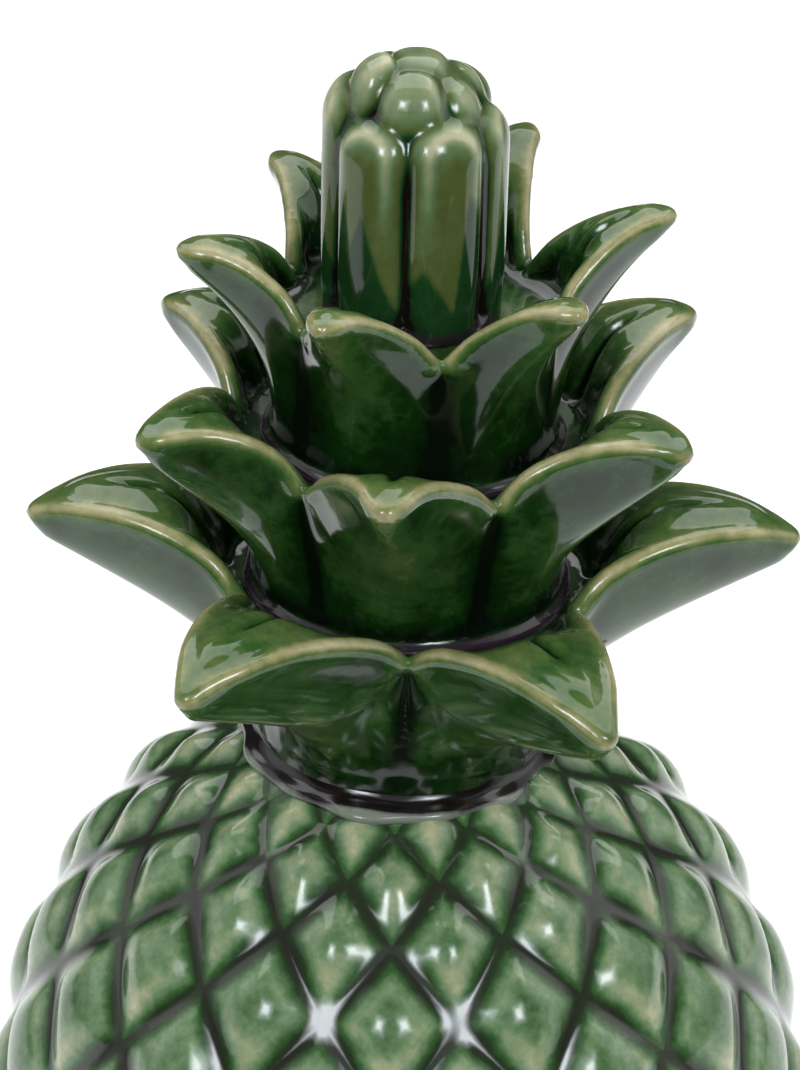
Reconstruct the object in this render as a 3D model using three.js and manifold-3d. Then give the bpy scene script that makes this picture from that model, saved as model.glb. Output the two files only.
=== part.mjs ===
// Pineapple ornament in green glazed earthenware, standing on its foot ring.
// Millimetres and degrees, +Z up, front towards -Y, origin at the centre of the foot ring on the table.
import * as THREE from "three";
import Module from "manifold-3d";
import { mergeVertices } from "three/addons/utils/BufferGeometryUtils.js";

// Joints between the clay pieces
const jointGap = 0.3;
const spigotLength = 12;
const socketLedge = 3;
const roundSteps = 30;

// Fruit body, an ovoid covered with a diamond lattice
const bodyRadius = 88.9;
const bodyWall = 6.5;
const footRadius = 40.6;
const footHoleRadius = 26;
const footThickness = 8;
const baseHeight = 50;
const seamHeight = 208;
const seamRadius = 29.9;

// Lattice of diamonds, laid out by two families of spiral grooves
const diamondsRound = 15;
const diamondSlenderness = 1.275;
const latticeTurn = -1.76;
const firstRowDrop = 3.75;
const grooveDepth = 1.3;
const pillowHeight = 1.7;
const pillowShoulder = 0.6;
const pillowInset = 0.36;

// Foot of the crown, which leans a little to the right
const crownLean = 2.3;
const crownSpigotRadius = 21.4;
const seatDrop = 2.4;
const footBandHeight = 5;
const lutingWidth = 2.8;
const lutingHeight = 2.6;

// Tiers of leaves, lowest first. The foot of a tier is set in from the valleys between the leaves
// below, or from the seam. Flare leads out from there to its own valleys, and reach to its tips.
// Each leaf is a fleshy body over its keel, between two rims. Keel and rims are curves, steered
// near their start and their end by [outward, upward] pulls. The top is dished near the wall and
// domed further out. Sinks lower single tips, sways move them sideways, stretches
// move them outwards, and slumps flatten a rim
const leavesPerTier = 6;
const floorDrop = 1.5;
const tipDepth = 3.5;
const tipSetback = 2.5;
const lipRise = 2.4;
const midribDepth = 2;
const tiers = [
  {
    name: "lower",
    turn: -30,
    inset: 0,
    flare: 8.1,
    reach: 38,
    valleyRise: 32,
    tipRise: 9,
    keelPulls: { start: [0.2, 14.7], end: [25.5, 14.5] },
    rimPulls: { start: [7, 12], end: [16, -10] },
    taper: { power: 1.3, roundness: 0.7 },
    wall: 5,
    bulge: 3,
    tipHalf: 3.6,
    lip: 2.3,
    dish: 4.6,
    dome: 2.2,
    spigotRadius: crownSpigotRadius,
    sinks: [5, 9, 1, 0, 0, 1],
    slumps: [5, 6, 0, 0, 0, 0],
    sways: [-4.5, -1, 0, 0, 0, 0],
    stretches: [0, 0, 1.5, 0, 0, -0.5],
  },
  {
    name: "middle",
    turn: -5,
    inset: 7.4,
    flare: 5.8,
    reach: 22.6,
    valleyRise: 33.5,
    tipRise: 11.5,
    keelPulls: { start: [0, 16], end: [13.5, 15] },
    rimPulls: { start: [6.5, 11], end: [9, -4.5] },
    taper: { power: 1.1, roundness: 0.9 },
    wall: 4.6,
    bulge: 2.6,
    tipHalf: 4.6,
    lip: 2.1,
    dish: 4.4,
    dome: 1.2,
    spigotRadius: 17,
    sinks: [1, 2, 0, 0, 2, 3],
    slumps: [5, 0, 0, 0, 0, 0],
    sways: [-0.8, 5, 2, 5, 5, 5],
    stretches: [0, 0, 3.5, 0, -1, 1],
  },
  {
    name: "upper",
    turn: -22,
    inset: 8.8,
    flare: 0.4,
    reach: 19,
    valleyRise: 28.5,
    tipRise: 15,
    keelPulls: { start: [-0.6, 16], end: [11.5, 11] },
    rimPulls: { start: [5.8, 10], end: [9, -1] },
    taper: { power: 1, roundness: 0.95 },
    wall: 4.4,
    bulge: 2.2,
    tipHalf: 3.8,
    lip: 1.9,
    dish: 4.2,
    dome: 1,
    spigotRadius: 14.5,
    sinks: [2, 0, -1.5, -3, 3, 3.8],
    slumps: [3, 3.5, 0, 0, 0, 0],
    sways: [-2, 0, 0, -3.5, 0, 0],
    stretches: [0, 0, 2, 1.5, 1, 0],
  },
];

// Bud of upright finger lobes round a core that carries a ring of knobs and a crest. It stands a
// little aside on the crown and straighter than it
const budShift = -1.6;
const budLean = -1;
const budTurn = -6;
const budSpigotRadius = 5.8;
const budSocketPlay = 2;
const budCoreRadius = 8.8;
const budCoreRise = 37.5;
const lobesRound = 6;
const lobeReach = 17.8;
const lobeRise = 47.5;
const lobeTrims = [-4, -3.2, -4, 0, 0, 0.5];
const lobeRounding = 9;
const lobeThinning = 10;
const knobHeight = 12;
const knobTrims = [1.5, -0.5, 0, 0, 1, 3.5];
const knobDepth = 8.4;
const knobRingRadius = 8.4;
const crestHeight = 15;

// Mesh density
const wallSteps = 3;
const bladeSteps = 8;
const leafColumns = [-1, -0.68, -0.36, -0.12, 0, 0.12, 0.36, 0.68, 1];
const lobeColumns = 12;
const lobeRows = 6;
const knobColumns = 8;
const knobRows = 4;
const cavitySteps = 12;
const footSteps = 3;

const wasm = await Module();
wasm.setup();

function radians(degrees) {
  return (degrees * Math.PI) / 180;
}

function mix(from, to, share) {
  return from + (to - from) * share;
}

function easeStep(value, start, end) {
  const share = Math.min(1, Math.max(0, (value - start) / (end - start)));
  return share * share * (3 - 2 * share);
}

// Azimuth 0 is the front and grows towards the right, seen from above
function frontAngle(azimuth) {
  return radians(azimuth - 90);
}

function glaze(colour, roughness) {
  return new THREE.MeshStandardMaterial({ color: colour, roughness, metalness: 0 });
}

function meshFromLists(points, faces) {
  const geometry = new THREE.BufferGeometry();
  geometry.setAttribute("position", new THREE.Float32BufferAttribute(points.flat(), 3));
  geometry.setIndex(faces.flat());
  geometry.computeVertexNormals();
  return geometry;
}

function lathe(profile) {
  const outline = profile.map(([radius, height]) => new THREE.Vector2(radius, height));
  const geometry = new THREE.LatheGeometry(outline, roundSteps);
  geometry.rotateX(Math.PI / 2);
  return geometry;
}

function solidFrom(geometry) {
  const bare = geometry.clone();
  bare.deleteAttribute("normal");
  bare.deleteAttribute("uv");
  const merged = mergeVertices(bare, 1e-4);
  const mesh = new wasm.Mesh({
    numProp: 3,
    vertProperties: new Float32Array(merged.attributes.position.array),
    triVerts: new Uint32Array(merged.index.array),
  });
  return new wasm.Manifold(mesh);
}

function geometryFrom(solid) {
  const mesh = solid.getMesh();
  const geometry = new THREE.BufferGeometry();
  geometry.setAttribute("position", new THREE.BufferAttribute(mesh.vertProperties, 3));
  geometry.setIndex(new THREE.BufferAttribute(mesh.triVerts, 1));
  geometry.computeVertexNormals();
  return geometry;
}

// The ovoid passes through the edge of the foot and through the seam under the crown
const seamAngle = Math.asin(seamRadius / bodyRadius);
const footAngle = Math.PI - Math.asin(footRadius / bodyRadius);
const bodyHalfHeight = seamHeight / (Math.cos(seamAngle) - Math.cos(footAngle));
const bodyCentre = -bodyHalfHeight * Math.cos(footAngle);

function bodyAngleAt(height) {
  return Math.acos((height - bodyCentre) / bodyHalfHeight);
}

// Point on the ovoid, lifted along its normal
function bodyPoint(angle, azimuth, lift) {
  const slope = Math.hypot(bodyHalfHeight * Math.sin(angle), bodyRadius * Math.cos(angle));
  const outward = (bodyHalfHeight * Math.sin(angle)) / slope;
  const upward = (bodyRadius * Math.cos(angle)) / slope;
  const radius = bodyRadius * Math.sin(angle) + lift * outward;
  const height = bodyCentre + bodyHalfHeight * Math.cos(angle) + lift * upward;
  return [radius * Math.cos(azimuth), radius * Math.sin(azimuth), height];
}

// Groove crossings lie on rows that keep the diamonds alike from crown to foot
function latticeRows() {
  const rowStep = (diamondSlenderness * Math.PI) / diamondsRound;
  const fineStep = radians(0.02);
  const arcPerTurn = (angle) =>
    Math.hypot(bodyRadius * Math.cos(angle), bodyHalfHeight * Math.sin(angle)) /
    (bodyRadius * Math.sin(angle));
  const first = seamAngle + radians(firstRowDrop);
  const march = (direction, stop) => {
    const found = [];
    let angle = first;
    let travelled = 0;
    while (found.length === 0 || !stop(found[found.length - 1])) {
      travelled += fineStep * arcPerTurn(angle);
      angle += direction * fineStep;
      if (travelled >= rowStep) {
        found.push(angle);
        travelled -= rowStep;
      }
    }
    return found;
  };
  const above = march(-1, (angle) => angle < seamAngle).reverse();
  const below = march(1, (angle) => angle > footAngle + radians(4));
  return { angles: [...above, first, ...below], firstRow: above.length };
}

// One pillow-shaped diamond: four corners in the grooves, four inset corners and a centre
function bodyRelief() {
  const { angles, firstRow } = latticeRows();
  const halfStep = 180 / diamondsRound;
  const points = [];
  const faces = [];
  const rowAzimuth = (row, column) => {
    const shift = (row - firstRow) % 2 === 0 ? 0 : halfStep;
    return frontAngle(latticeTurn + shift + column * 2 * halfStep);
  };
  const addPoint = (point) => points.push(point) - 1;
  const crossings = angles.map((angle, row) =>
    Array.from({ length: diamondsRound }, (_, column) =>
      addPoint(bodyPoint(angle, rowAzimuth(row, column), -grooveDepth)),
    ),
  );
  const crossing = (row, column) => crossings[row][(column + diamondsRound) % diamondsRound];
  const isShifted = (row) => (row - firstRow) % 2 !== 0;
  for (let row = 1; row < angles.length - 1; row += 1) {
    const lift = pillowHeight * mix(0.35, 1, Math.sin(angles[row]));
    for (let column = 0; column < diamondsRound; column += 1) {
      const centreAzimuth = rowAzimuth(row, column) + radians(halfStep);
      const ahead = isShifted(row) ? column + 1 : column;
      const rim = [
        crossing(row - 1, ahead),
        crossing(row, column),
        crossing(row + 1, ahead),
        crossing(row, column + 1),
      ];
      const inner = [
        [mix(angles[row - 1], angles[row], pillowInset), centreAzimuth],
        [angles[row], centreAzimuth - radians(halfStep * (1 - pillowInset))],
        [mix(angles[row + 1], angles[row], pillowInset), centreAzimuth],
        [angles[row], centreAzimuth + radians(halfStep * (1 - pillowInset))],
      ].map(([angle, azimuth]) => addPoint(bodyPoint(angle, azimuth, lift * pillowShoulder)));
      const centre = addPoint(bodyPoint(angles[row], centreAzimuth, lift));
      for (let side = 0; side < 4; side += 1) {
        const next = (side + 1) % 4;
        faces.push([rim[side], rim[next], inner[next]]);
        faces.push([rim[side], inner[next], inner[side]]);
        faces.push([inner[side], inner[next], centre]);
      }
    }
  }
  const last = angles.length - 1;
  const crest = addPoint([0, 0, bodyPoint(angles[0], 0, 0)[2]]);
  const base = addPoint([0, 0, bodyPoint(angles[last], 0, 0)[2]]);
  for (let column = 0; column < diamondsRound; column += 1) {
    const below = isShifted(0) ? column + 1 : column;
    const above = isShifted(last) ? column + 1 : column;
    faces.push([crossing(0, column), crossing(1, below), crossing(0, column + 1)]);
    faces.push([crest, crossing(0, column), crossing(0, column + 1)]);
    faces.push([crossing(last, column), crossing(last, column + 1), crossing(last - 1, above)]);
    faces.push([base, crossing(last, column + 1), crossing(last, column)]);
  }
  return meshFromLists(points, faces);
}

const seatRadius = seamRadius + lutingWidth + 2 * jointGap;

// The shell is pressed in three rings: a base on the foot ring, a belly up to the widest girth and
// a shoulder with the crown's socket. It is open below and above
function bodyRings() {
  const topAngle = Math.asin((crownSpigotRadius + bodyWall / 2) / bodyRadius);
  const cavityPoint = (angle) => [
    (bodyRadius - bodyWall) * Math.sin(angle),
    bodyCentre + (bodyHalfHeight - bodyWall) * Math.cos(angle),
  ];
  const cavity = [[0, cavityPoint(footAngle)[1]]];
  for (let step = cavitySteps; step >= 0; step -= 1) {
    cavity.push(cavityPoint(mix(topAngle, footAngle, step / cavitySteps)));
  }
  cavity.push([0, cavityPoint(topAngle)[1]]);
  const slab = (bottom, top) => [
    [0, bottom],
    [2 * bodyRadius, bottom],
    [2 * bodyRadius, top],
    [0, top],
  ];
  const socket = [
    [0, -bodyWall * 4],
    [crownSpigotRadius + jointGap, -bodyWall * 4],
    [crownSpigotRadius + jointGap, -seatDrop],
    [seatRadius, -seatDrop],
    [seatRadius, bodyWall * 4],
    [0, bodyWall * 4],
  ];
  const leaning = lathe(socket);
  leaning.rotateY(radians(crownLean));
  leaning.translate(0, 0, seamHeight);
  const shell = solidFrom(bodyRelief())
    .subtract(solidFrom(lathe(cavity)))
    .subtract(solidFrom(leaning));
  const ring = (bottom, top) =>
    geometryFrom(shell.intersect(solidFrom(lathe(slab(bottom + jointGap, top)))));
  return {
    body_base: ring(footThickness, baseHeight),
    body_belly: ring(baseHeight, bodyCentre),
    body_shoulder: ring(bodyCentre, 2 * bodyHalfHeight),
  };
}

// The foot ring carries on the outline of the ovoid round the open firing hole
function footRingGeometry() {
  const profile = [[footHoleRadius, 0]];
  for (let step = 0; step <= footSteps; step += 1) {
    const height = (footThickness * step) / footSteps;
    profile.push([bodyRadius * Math.sin(bodyAngleAt(height)), height]);
  }
  profile.push([footHoleRadius, footThickness], [footHoleRadius, 0]);
  return lathe(profile);
}

// Each tier stands on the floor of the one below, and the lowest on the foot band. The radius of
// the bore through a core leaves a ledge under the spigot that the core receives
let standing = footBandHeight;
let mouthRadius = seamRadius;
tiers.forEach((tier, index) => {
  tier.footRadius = mouthRadius - tier.inset;
  tier.valleyRadius = tier.footRadius + tier.flare;
  tier.tipRadius = tier.valleyRadius + tier.reach;
  tier.footHeight = standing;
  tier.valleyHeight = standing + tier.valleyRise;
  tier.floorHeight = tier.valleyHeight - floorDrop;
  const isTop = index === tiers.length - 1;
  const received = isTop ? budSpigotRadius : tiers[index + 1].spigotRadius;
  tier.socketRadius = received + (isTop ? budSocketPlay : jointGap);
  tier.bore = received - socketLedge;
  standing = tier.floorHeight;
  mouthRadius = tier.valleyRadius;
});
const budFloor = standing;

// The outer radius of a tier's wall at the creases between leaves, 0 at the foot and 1 at the valley
function creaseRadius(tier, share) {
  return mix(tier.footRadius, tier.valleyRadius, share ** 1.6);
}

// Keel and rim of one leaf, both in its own radial plane
function leafCurves(tier, index) {
  const sink = tier.sinks[index];
  const tipRadius = tier.tipRadius + tier.stretches[index];
  const curve = (start, pulls, end, slump) =>
    new THREE.CubicBezierCurve(
      new THREE.Vector2(...start),
      new THREE.Vector2(start[0] + pulls.start[0], start[1] + pulls.start[1] - 0.2 * sink - slump),
      new THREE.Vector2(end[0] - pulls.end[0], end[1] - pulls.end[1] + 0.2 * sink),
      new THREE.Vector2(...end),
    );
  const tipHeight = tier.valleyHeight + tier.tipRise - sink;
  const keelFoot = [tier.footRadius + 0.25 * tier.bulge, tier.footHeight + jointGap];
  const valley = [tier.valleyRadius * Math.cos(Math.PI / leavesPerTier), tier.valleyHeight];
  return {
    keel: curve(keelFoot, tier.keelPulls, [tipRadius - tipSetback, tipHeight - tipDepth], 0),
    rim: curve(valley, tier.rimPulls, [tipRadius, tipHeight], tier.slumps[index]),
    sway: tier.sways[index],
    capShare: tier.tipHalf / (tipRadius - valley[0]),
  };
}

// Rib, rim and half width of a leaf's cross-section. Along is 0 at the foot, 1 at the valley
// between two leaves and 2 at the tip
function leafSection(tier, curves, along) {
  const halfTurn = Math.PI / leavesPerTier;
  const rib = curves.keel.getPoint(along / 2);
  const sideGap = 0.6 * jointGap;
  if (along <= 1) {
    const crease = creaseRadius(tier, along);
    const height = mix(tier.footHeight + jointGap, tier.valleyHeight, along);
    const rim = new THREE.Vector2(crease * Math.cos(halfTurn), height);
    return { rib, rim, halfWidth: crease * Math.sin(halfTurn) - sideGap };
  }
  const share = along - 1;
  const valleyHalfWidth = tier.valleyRadius * Math.sin(halfTurn) - sideGap;
  const tapered = valleyHalfWidth * (1 - share ** tier.taper.power) ** tier.taper.roundness;
  const intoCap = Math.max(0, (share - 1) / curves.capShare + 1);
  const cap = tier.tipHalf * Math.sqrt(1 - 0.95 * intoCap ** 2);
  const halfWidth = Math.min(valleyHalfWidth, (tapered ** 4 + cap ** 4) ** 0.25);
  return { rib, rim: curves.rim.getPoint(share), halfWidth };
}

function leafOutside(tier, curves, along, across) {
  const section = leafSection(tier, curves, along);
  const share = across * across;
  return new THREE.Vector3(
    mix(section.rib.x, section.rim.x, share),
    section.halfWidth * across + curves.sway * easeStep(along, 1, 2),
    mix(section.rib.y, section.rim.y, share),
  );
}

// Where the leaf is a wall its inner face follows the core. Further out it is the fleshy top,
// which starts at the floor of the tier, has a groove along the midrib, and ends inside the rims
function leafInside(tier, curves, along, across) {
  if (along <= 1) {
    const radius = creaseRadius(tier, along) - tier.wall - jointGap;
    const angle = (across * Math.PI) / leavesPerTier;
    const sideGap = 0.6 * jointGap * across;
    const height = mix(tier.footHeight + jointGap, tier.floorHeight, along);
    return new THREE.Vector3(radius * Math.cos(angle), radius * Math.sin(angle) - sideGap, height);
  }
  const share = along - 1;
  const { rib, rim, halfWidth } = leafSection(tier, curves, along);
  const fall = rib.clone().sub(rim).normalize();
  const heading = curves.rim.getTangent(share);
  const dish = tier.dish * (1 - easeStep(share, 0.12, 0.5));
  const dome = tier.dome * easeStep(share, 0.2, 0.55) * (1 - easeStep(share, 0.78, 1));
  const midrib = across === 0 ? midribDepth * (1 - easeStep(share, 0.5, 0.78)) : 0;
  const drop = (dish - dome) * (1 - across * across) + midrib - lipRise;
  const back = tier.lip * easeStep(share, 0.75, 1);
  const half = Math.max(halfWidth - tier.lip, 0.4 * halfWidth);
  const height = rim.y + fall.y * drop - heading.y * back;
  return new THREE.Vector3(
    rim.x + fall.x * drop - heading.x * back,
    half * across + curves.sway * easeStep(along, 1, 2),
    Math.max(height, tier.floorHeight),
  );
}

function leafGeometry(tier, index) {
  const curves = leafCurves(tier, index);
  const stations = [];
  for (let step = 0; step < wallSteps; step += 1) {
    stations.push(step / wallSteps);
  }
  for (let step = 0; step <= bladeSteps; step += 1) {
    stations.push(1 + Math.sin((step / bladeSteps) * (Math.PI / 2)));
  }
  const outside = [];
  const inside = [];
  for (const along of stations) {
    for (const across of leafColumns) {
      outside.push(leafOutside(tier, curves, along, across).toArray());
      inside.push(leafInside(tier, curves, along, across).toArray());
    }
  }
  const stride = leafColumns.length;
  const lastColumn = stride - 1;
  const lastRow = stations.length - 1;
  const outer = (row, column) => row * stride + column;
  const inner = (row, column) => outside.length + row * stride + column;
  const faces = [];
  const addQuad = (a, b, c, d) => faces.push([a, b, c], [a, c, d]);
  for (let row = 0; row < lastRow; row += 1) {
    for (let column = 0; column < lastColumn; column += 1) {
      const next = column + 1;
      addQuad(outer(row, column), outer(row, next), outer(row + 1, next), outer(row + 1, column));
      addQuad(inner(row, column), inner(row + 1, column), inner(row + 1, next), inner(row, next));
    }
    addQuad(inner(row, 0), outer(row, 0), outer(row + 1, 0), inner(row + 1, 0));
    addQuad(
      outer(row, lastColumn),
      inner(row, lastColumn),
      inner(row + 1, lastColumn),
      outer(row + 1, lastColumn),
    );
  }
  for (let column = 0; column < lastColumn; column += 1) {
    const next = column + 1;
    addQuad(outer(0, column), inner(0, column), inner(0, next), outer(0, next));
    addQuad(outer(lastRow, column), outer(lastRow, next), inner(lastRow, next), inner(lastRow, column));
  }
  return meshFromLists([...outside, ...inside], faces);
}

// A core stands inside each ring of leaves. Its spigot drops into the socket of the piece below
function coreGeometry(tier, bottom, shoulder) {
  const wallPoints = Array.from({ length: wallSteps + 1 }, (_, step) => {
    const share = step / wallSteps;
    return [
      creaseRadius(tier, share) - tier.wall - 2 * jointGap,
      mix(tier.footHeight + jointGap, tier.floorHeight, share),
    ];
  });
  const socketFloor = tier.floorHeight - spigotLength;
  return lathe([
    [tier.bore, bottom],
    [tier.spigotRadius, bottom],
    ...shoulder,
    ...wallPoints,
    [tier.socketRadius, tier.floorHeight],
    [tier.socketRadius, socketFloor],
    [tier.bore, socketFloor],
    [tier.bore, bottom],
  ]);
}

function lutingGeometry(innerRadius, bottom) {
  return lathe([
    [innerRadius, bottom],
    [innerRadius + lutingWidth, bottom],
    [innerRadius + lutingWidth, bottom + lutingHeight * 0.45],
    [innerRadius + lutingWidth * 0.55, bottom + lutingHeight * 0.8],
    [innerRadius, bottom + lutingHeight],
    [innerRadius, bottom],
  ]);
}

// Closed skin over rings of points, from the lowest ring to the highest
function ringSkin(rings) {
  const columns = rings[0].length;
  const points = rings.flat();
  const faces = [];
  for (let row = 0; row < rings.length - 1; row += 1) {
    for (let column = 0; column < columns; column += 1) {
      const next = (column + 1) % columns;
      const low = row * columns;
      const high = low + columns;
      faces.push([low + column, low + next, high + next]);
      faces.push([low + column, high + next, high + column]);
    }
  }
  const middle = (ring) =>
    [0, 1, 2].map((axis) => ring.reduce((sum, point) => sum + point[axis], 0) / columns);
  const bottom = points.push(middle(rings[0])) - 1;
  const top = points.push(middle(rings[rings.length - 1])) - 1;
  const lastRing = (rings.length - 1) * columns;
  for (let column = 0; column < columns; column += 1) {
    const next = (column + 1) % columns;
    faces.push([bottom, next, column]);
    faces.push([top, lastRing + column, lastRing + next]);
  }
  return meshFromLists(points, faces);
}

function ovalRing(centreX, halfDepth, halfWidth, height, columns) {
  return Array.from({ length: columns }, (_, column) => {
    const angle = (column / columns) * 2 * Math.PI;
    return [centreX + halfDepth * Math.cos(angle), halfWidth * Math.sin(angle), height];
  });
}

const lobeInnerRadius = budCoreRadius + jointGap;
const lobeTopInnerRadius = knobRingRadius + knobDepth / 2 + jointGap;

// Widest half width of an oval that keeps to its own sector of a ring of equal pieces
function sectorHalfWidth(count, centreX, halfDepth) {
  const slope = Math.tan(Math.PI / count);
  return slope * Math.sqrt(centreX ** 2 - halfDepth ** 2) - jointGap / 2;
}

// An upright finger lobe with a rounded top, thinner above so that the knobs fit behind it
function lobeGeometry(rise) {
  const bottom = budFloor + jointGap;
  const top = budFloor + rise;
  const thinEnd = budFloor + budCoreRise;
  const thinStart = thinEnd - lobeThinning;
  const rings = [];
  const addRing = (height, scale) => {
    const thinning = easeStep(height, thinStart, thinEnd);
    const inner = mix(lobeInnerRadius, lobeTopInnerRadius, thinning);
    const centre = (inner + lobeReach) / 2;
    const halfDepth = (lobeReach - inner) / 2;
    const foot = (lobeInnerRadius + lobeReach) / 2;
    const halfWidth = sectorHalfWidth(lobesRound, foot, lobeReach - foot);
    rings.push(ovalRing(centre, halfDepth * scale, halfWidth * scale, height, lobeColumns));
  };
  addRing(bottom, 0.94);
  addRing(mix(bottom, top, 0.3), 1);
  addRing(thinStart, 1);
  for (let row = 0; row < lobeRows; row += 1) {
    const angle = ((row / lobeRows) * Math.PI) / 2;
    addRing(top - lobeRounding * (1 - Math.sin(angle)), Math.cos(angle) ** 0.8);
  }
  return ringSkin(rings);
}

// A knob is an egg with its lower end cut flat, where it sits on the core
function knobGeometry(centreX, halfDepth, halfWidth, height) {
  const bottom = budFloor + budCoreRise + jointGap;
  const lowest = -0.4 * Math.PI;
  const halfHeight = height / (1 - Math.sin(lowest));
  const rings = [];
  for (let row = 0; row <= knobRows; row += 1) {
    const angle = mix(lowest, 0.44 * Math.PI, row / knobRows);
    const scale = Math.cos(angle);
    const level = bottom + halfHeight * (Math.sin(angle) - Math.sin(lowest));
    rings.push(ovalRing(centreX, halfDepth * scale, halfWidth * scale, level, knobColumns));
  }
  return ringSkin(rings);
}

function budCoreGeometry() {
  const spigotBottom = budFloor - spigotLength + 2 * jointGap;
  return lathe([
    [0, spigotBottom],
    [budSpigotRadius, spigotBottom],
    [budSpigotRadius, budFloor + jointGap],
    [budCoreRadius, budFloor + jointGap],
    [budCoreRadius, budFloor + budCoreRise],
    [0, budFloor + budCoreRise],
  ]);
}

const leafGreen = 0x1f4a26;
const bodyGreen = 0x35663a;
const joinBlack = 0x16181a;
const budGreen = 0x2c5a2e;

function named(name, geometry, material) {
  const mesh = new THREE.Mesh(geometry, material);
  mesh.name = name;
  return mesh;
}

function addLeaves(crown) {
  const step = 360 / leavesPerTier;
  for (const tier of tiers) {
    for (let index = 0; index < leavesPerTier; index += 1) {
      const leaf = named(
        `${tier.name}_leaf_${index + 1}`,
        leafGeometry(tier, index),
        glaze(leafGreen, 0.12),
      );
      leaf.rotation.z = frontAngle(tier.turn + index * step);
      crown.add(leaf);
    }
  }
}

function addCores(crown) {
  const footBand = [
    [crownSpigotRadius, -seatDrop + jointGap],
    [seamRadius, -seatDrop + jointGap],
    [seamRadius, footBandHeight],
    [tiers[0].footRadius - tiers[0].wall - 2 * jointGap, footBandHeight],
  ];
  tiers.forEach((tier, index) => {
    const bottom = index === 0 ? -spigotLength : tier.footHeight - spigotLength + jointGap;
    const standsAt = tier.footHeight + jointGap;
    const shoulder = index === 0 ? footBand : [[tier.spigotRadius, standsAt]];
    const core = coreGeometry(tier, bottom, shoulder);
    crown.add(named(`${tier.name}_core`, core, glaze(leafGreen, 0.2)));
  });
}

function addLuting(crown) {
  const ring = lutingGeometry(seamRadius + jointGap, -seatDrop + jointGap);
  crown.add(named("crown_luting_ring", ring, glaze(joinBlack, 0.1)));
}

// The bud stands clear of its floor by as much as it is straighter than the crown
function addBud(crown) {
  const bud = new THREE.Group();
  bud.position.set(budShift, 0, budFloor + Math.abs(Math.sin(radians(budLean))) * lobeReach);
  bud.rotation.y = radians(budLean);
  const pieces = new THREE.Group();
  pieces.position.z = -budFloor;
  const step = 360 / lobesRound;
  const knobHalfWidth = sectorHalfWidth(lobesRound, knobRingRadius, knobDepth / 2);
  const crestRadius = knobRingRadius - knobDepth / 2 - 2 * jointGap;
  pieces.add(named("bud_core", budCoreGeometry(), glaze(budGreen, 0.2)));
  for (let index = 0; index < lobesRound; index += 1) {
    const rise = lobeRise + lobeTrims[index];
    const lobe = named(`bud_lobe_${index + 1}`, lobeGeometry(rise), glaze(budGreen, 0.1));
    lobe.rotation.z = frontAngle((index - 0.5) * step + budTurn);
    pieces.add(lobe);
    const knob = named(
      `bud_knob_${index + 1}`,
      knobGeometry(knobRingRadius, knobDepth / 2, knobHalfWidth, knobHeight + knobTrims[index]),
      glaze(budGreen, 0.1),
    );
    knob.rotation.z = frontAngle(index * step + budTurn);
    pieces.add(knob);
  }
  const crest = knobGeometry(0, crestRadius, crestRadius, crestHeight);
  pieces.add(named("bud_crest", crest, glaze(budGreen, 0.1)));
  bud.add(pieces);
  crown.add(bud);
}

const ornament = new THREE.Group();
ornament.add(named("foot_ring", footRingGeometry(), glaze(bodyGreen, 0.12)));
for (const [name, geometry] of Object.entries(bodyRings())) {
  ornament.add(named(name, geometry, glaze(bodyGreen, 0.12)));
}
const crown = new THREE.Group();
crown.position.z = seamHeight;
crown.rotation.y = radians(crownLean);
addCores(crown);
addLuting(crown);
addLeaves(crown);
addBud(crown);
ornament.add(crown);

export default ornament;
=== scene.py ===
"""Pineapple ornament in green glazed earthenware: fine surfaces, glazes, studio and camera.

Shapes are worked out in millimetres in the row frame and turned into metres when a mesh is made.
"""

import math

import bmesh
import bpy
import numpy as np
from mathutils import Matrix, Vector
from mathutils.kdtree import KDTree


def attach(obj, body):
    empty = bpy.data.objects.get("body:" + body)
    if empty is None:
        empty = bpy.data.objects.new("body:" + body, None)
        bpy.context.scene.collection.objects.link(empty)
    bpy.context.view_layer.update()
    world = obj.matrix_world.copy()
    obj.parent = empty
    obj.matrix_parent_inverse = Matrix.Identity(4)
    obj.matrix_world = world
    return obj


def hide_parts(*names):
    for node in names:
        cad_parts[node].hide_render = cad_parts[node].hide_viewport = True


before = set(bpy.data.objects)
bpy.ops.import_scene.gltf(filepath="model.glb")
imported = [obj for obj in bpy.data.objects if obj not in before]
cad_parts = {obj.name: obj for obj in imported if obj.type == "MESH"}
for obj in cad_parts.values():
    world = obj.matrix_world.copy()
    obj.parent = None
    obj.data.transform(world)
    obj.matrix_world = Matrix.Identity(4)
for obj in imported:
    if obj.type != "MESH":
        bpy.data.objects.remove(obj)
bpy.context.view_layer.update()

METRES = 0.001

# Fruit body, as the frame has it
BODY_RADIUS = 88.9
BODY_WALL = 6.5
FOOT_RADIUS = 40.6
FOOT_HOLE_RADIUS = 26.0
FOOT_THICKNESS = 8.0
SEAM_HEIGHT = 208.0
SEAM_RADIUS = 29.9
DIAMONDS_ROUND = 15
DIAMOND_SLENDERNESS = 1.275
LATTICE_TURN = -1.76
FIRST_ROW_DROP = 3.75

# Relief of the lattice
GROOVE_DEPTH = 1.5
PILLOW_HEIGHT = 1.7
GROOVE_REACH = 4.9
GROOVE_ROUNDING = 0.2
DOME_GAIN = 1.2
CELL_STEPS = 20

# Crown
CROWN_LEAN = 2.3
FOOT_BAND_HEIGHT = 5.0
LEAVES_PER_TIER = 6
FLOOR_DROP = 1.5
TIP_DEPTH = 3.5
TIP_SETBACK = 2.5
LIP_RISE = 2.4
SLIT_DEPTH = 3.2
SLIT_WIDTH = 1.0
LIP_INSET = 0.8
BEAD_RISE = 0.4
FOOT_BEAD_RADIUS = 1.7

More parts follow.
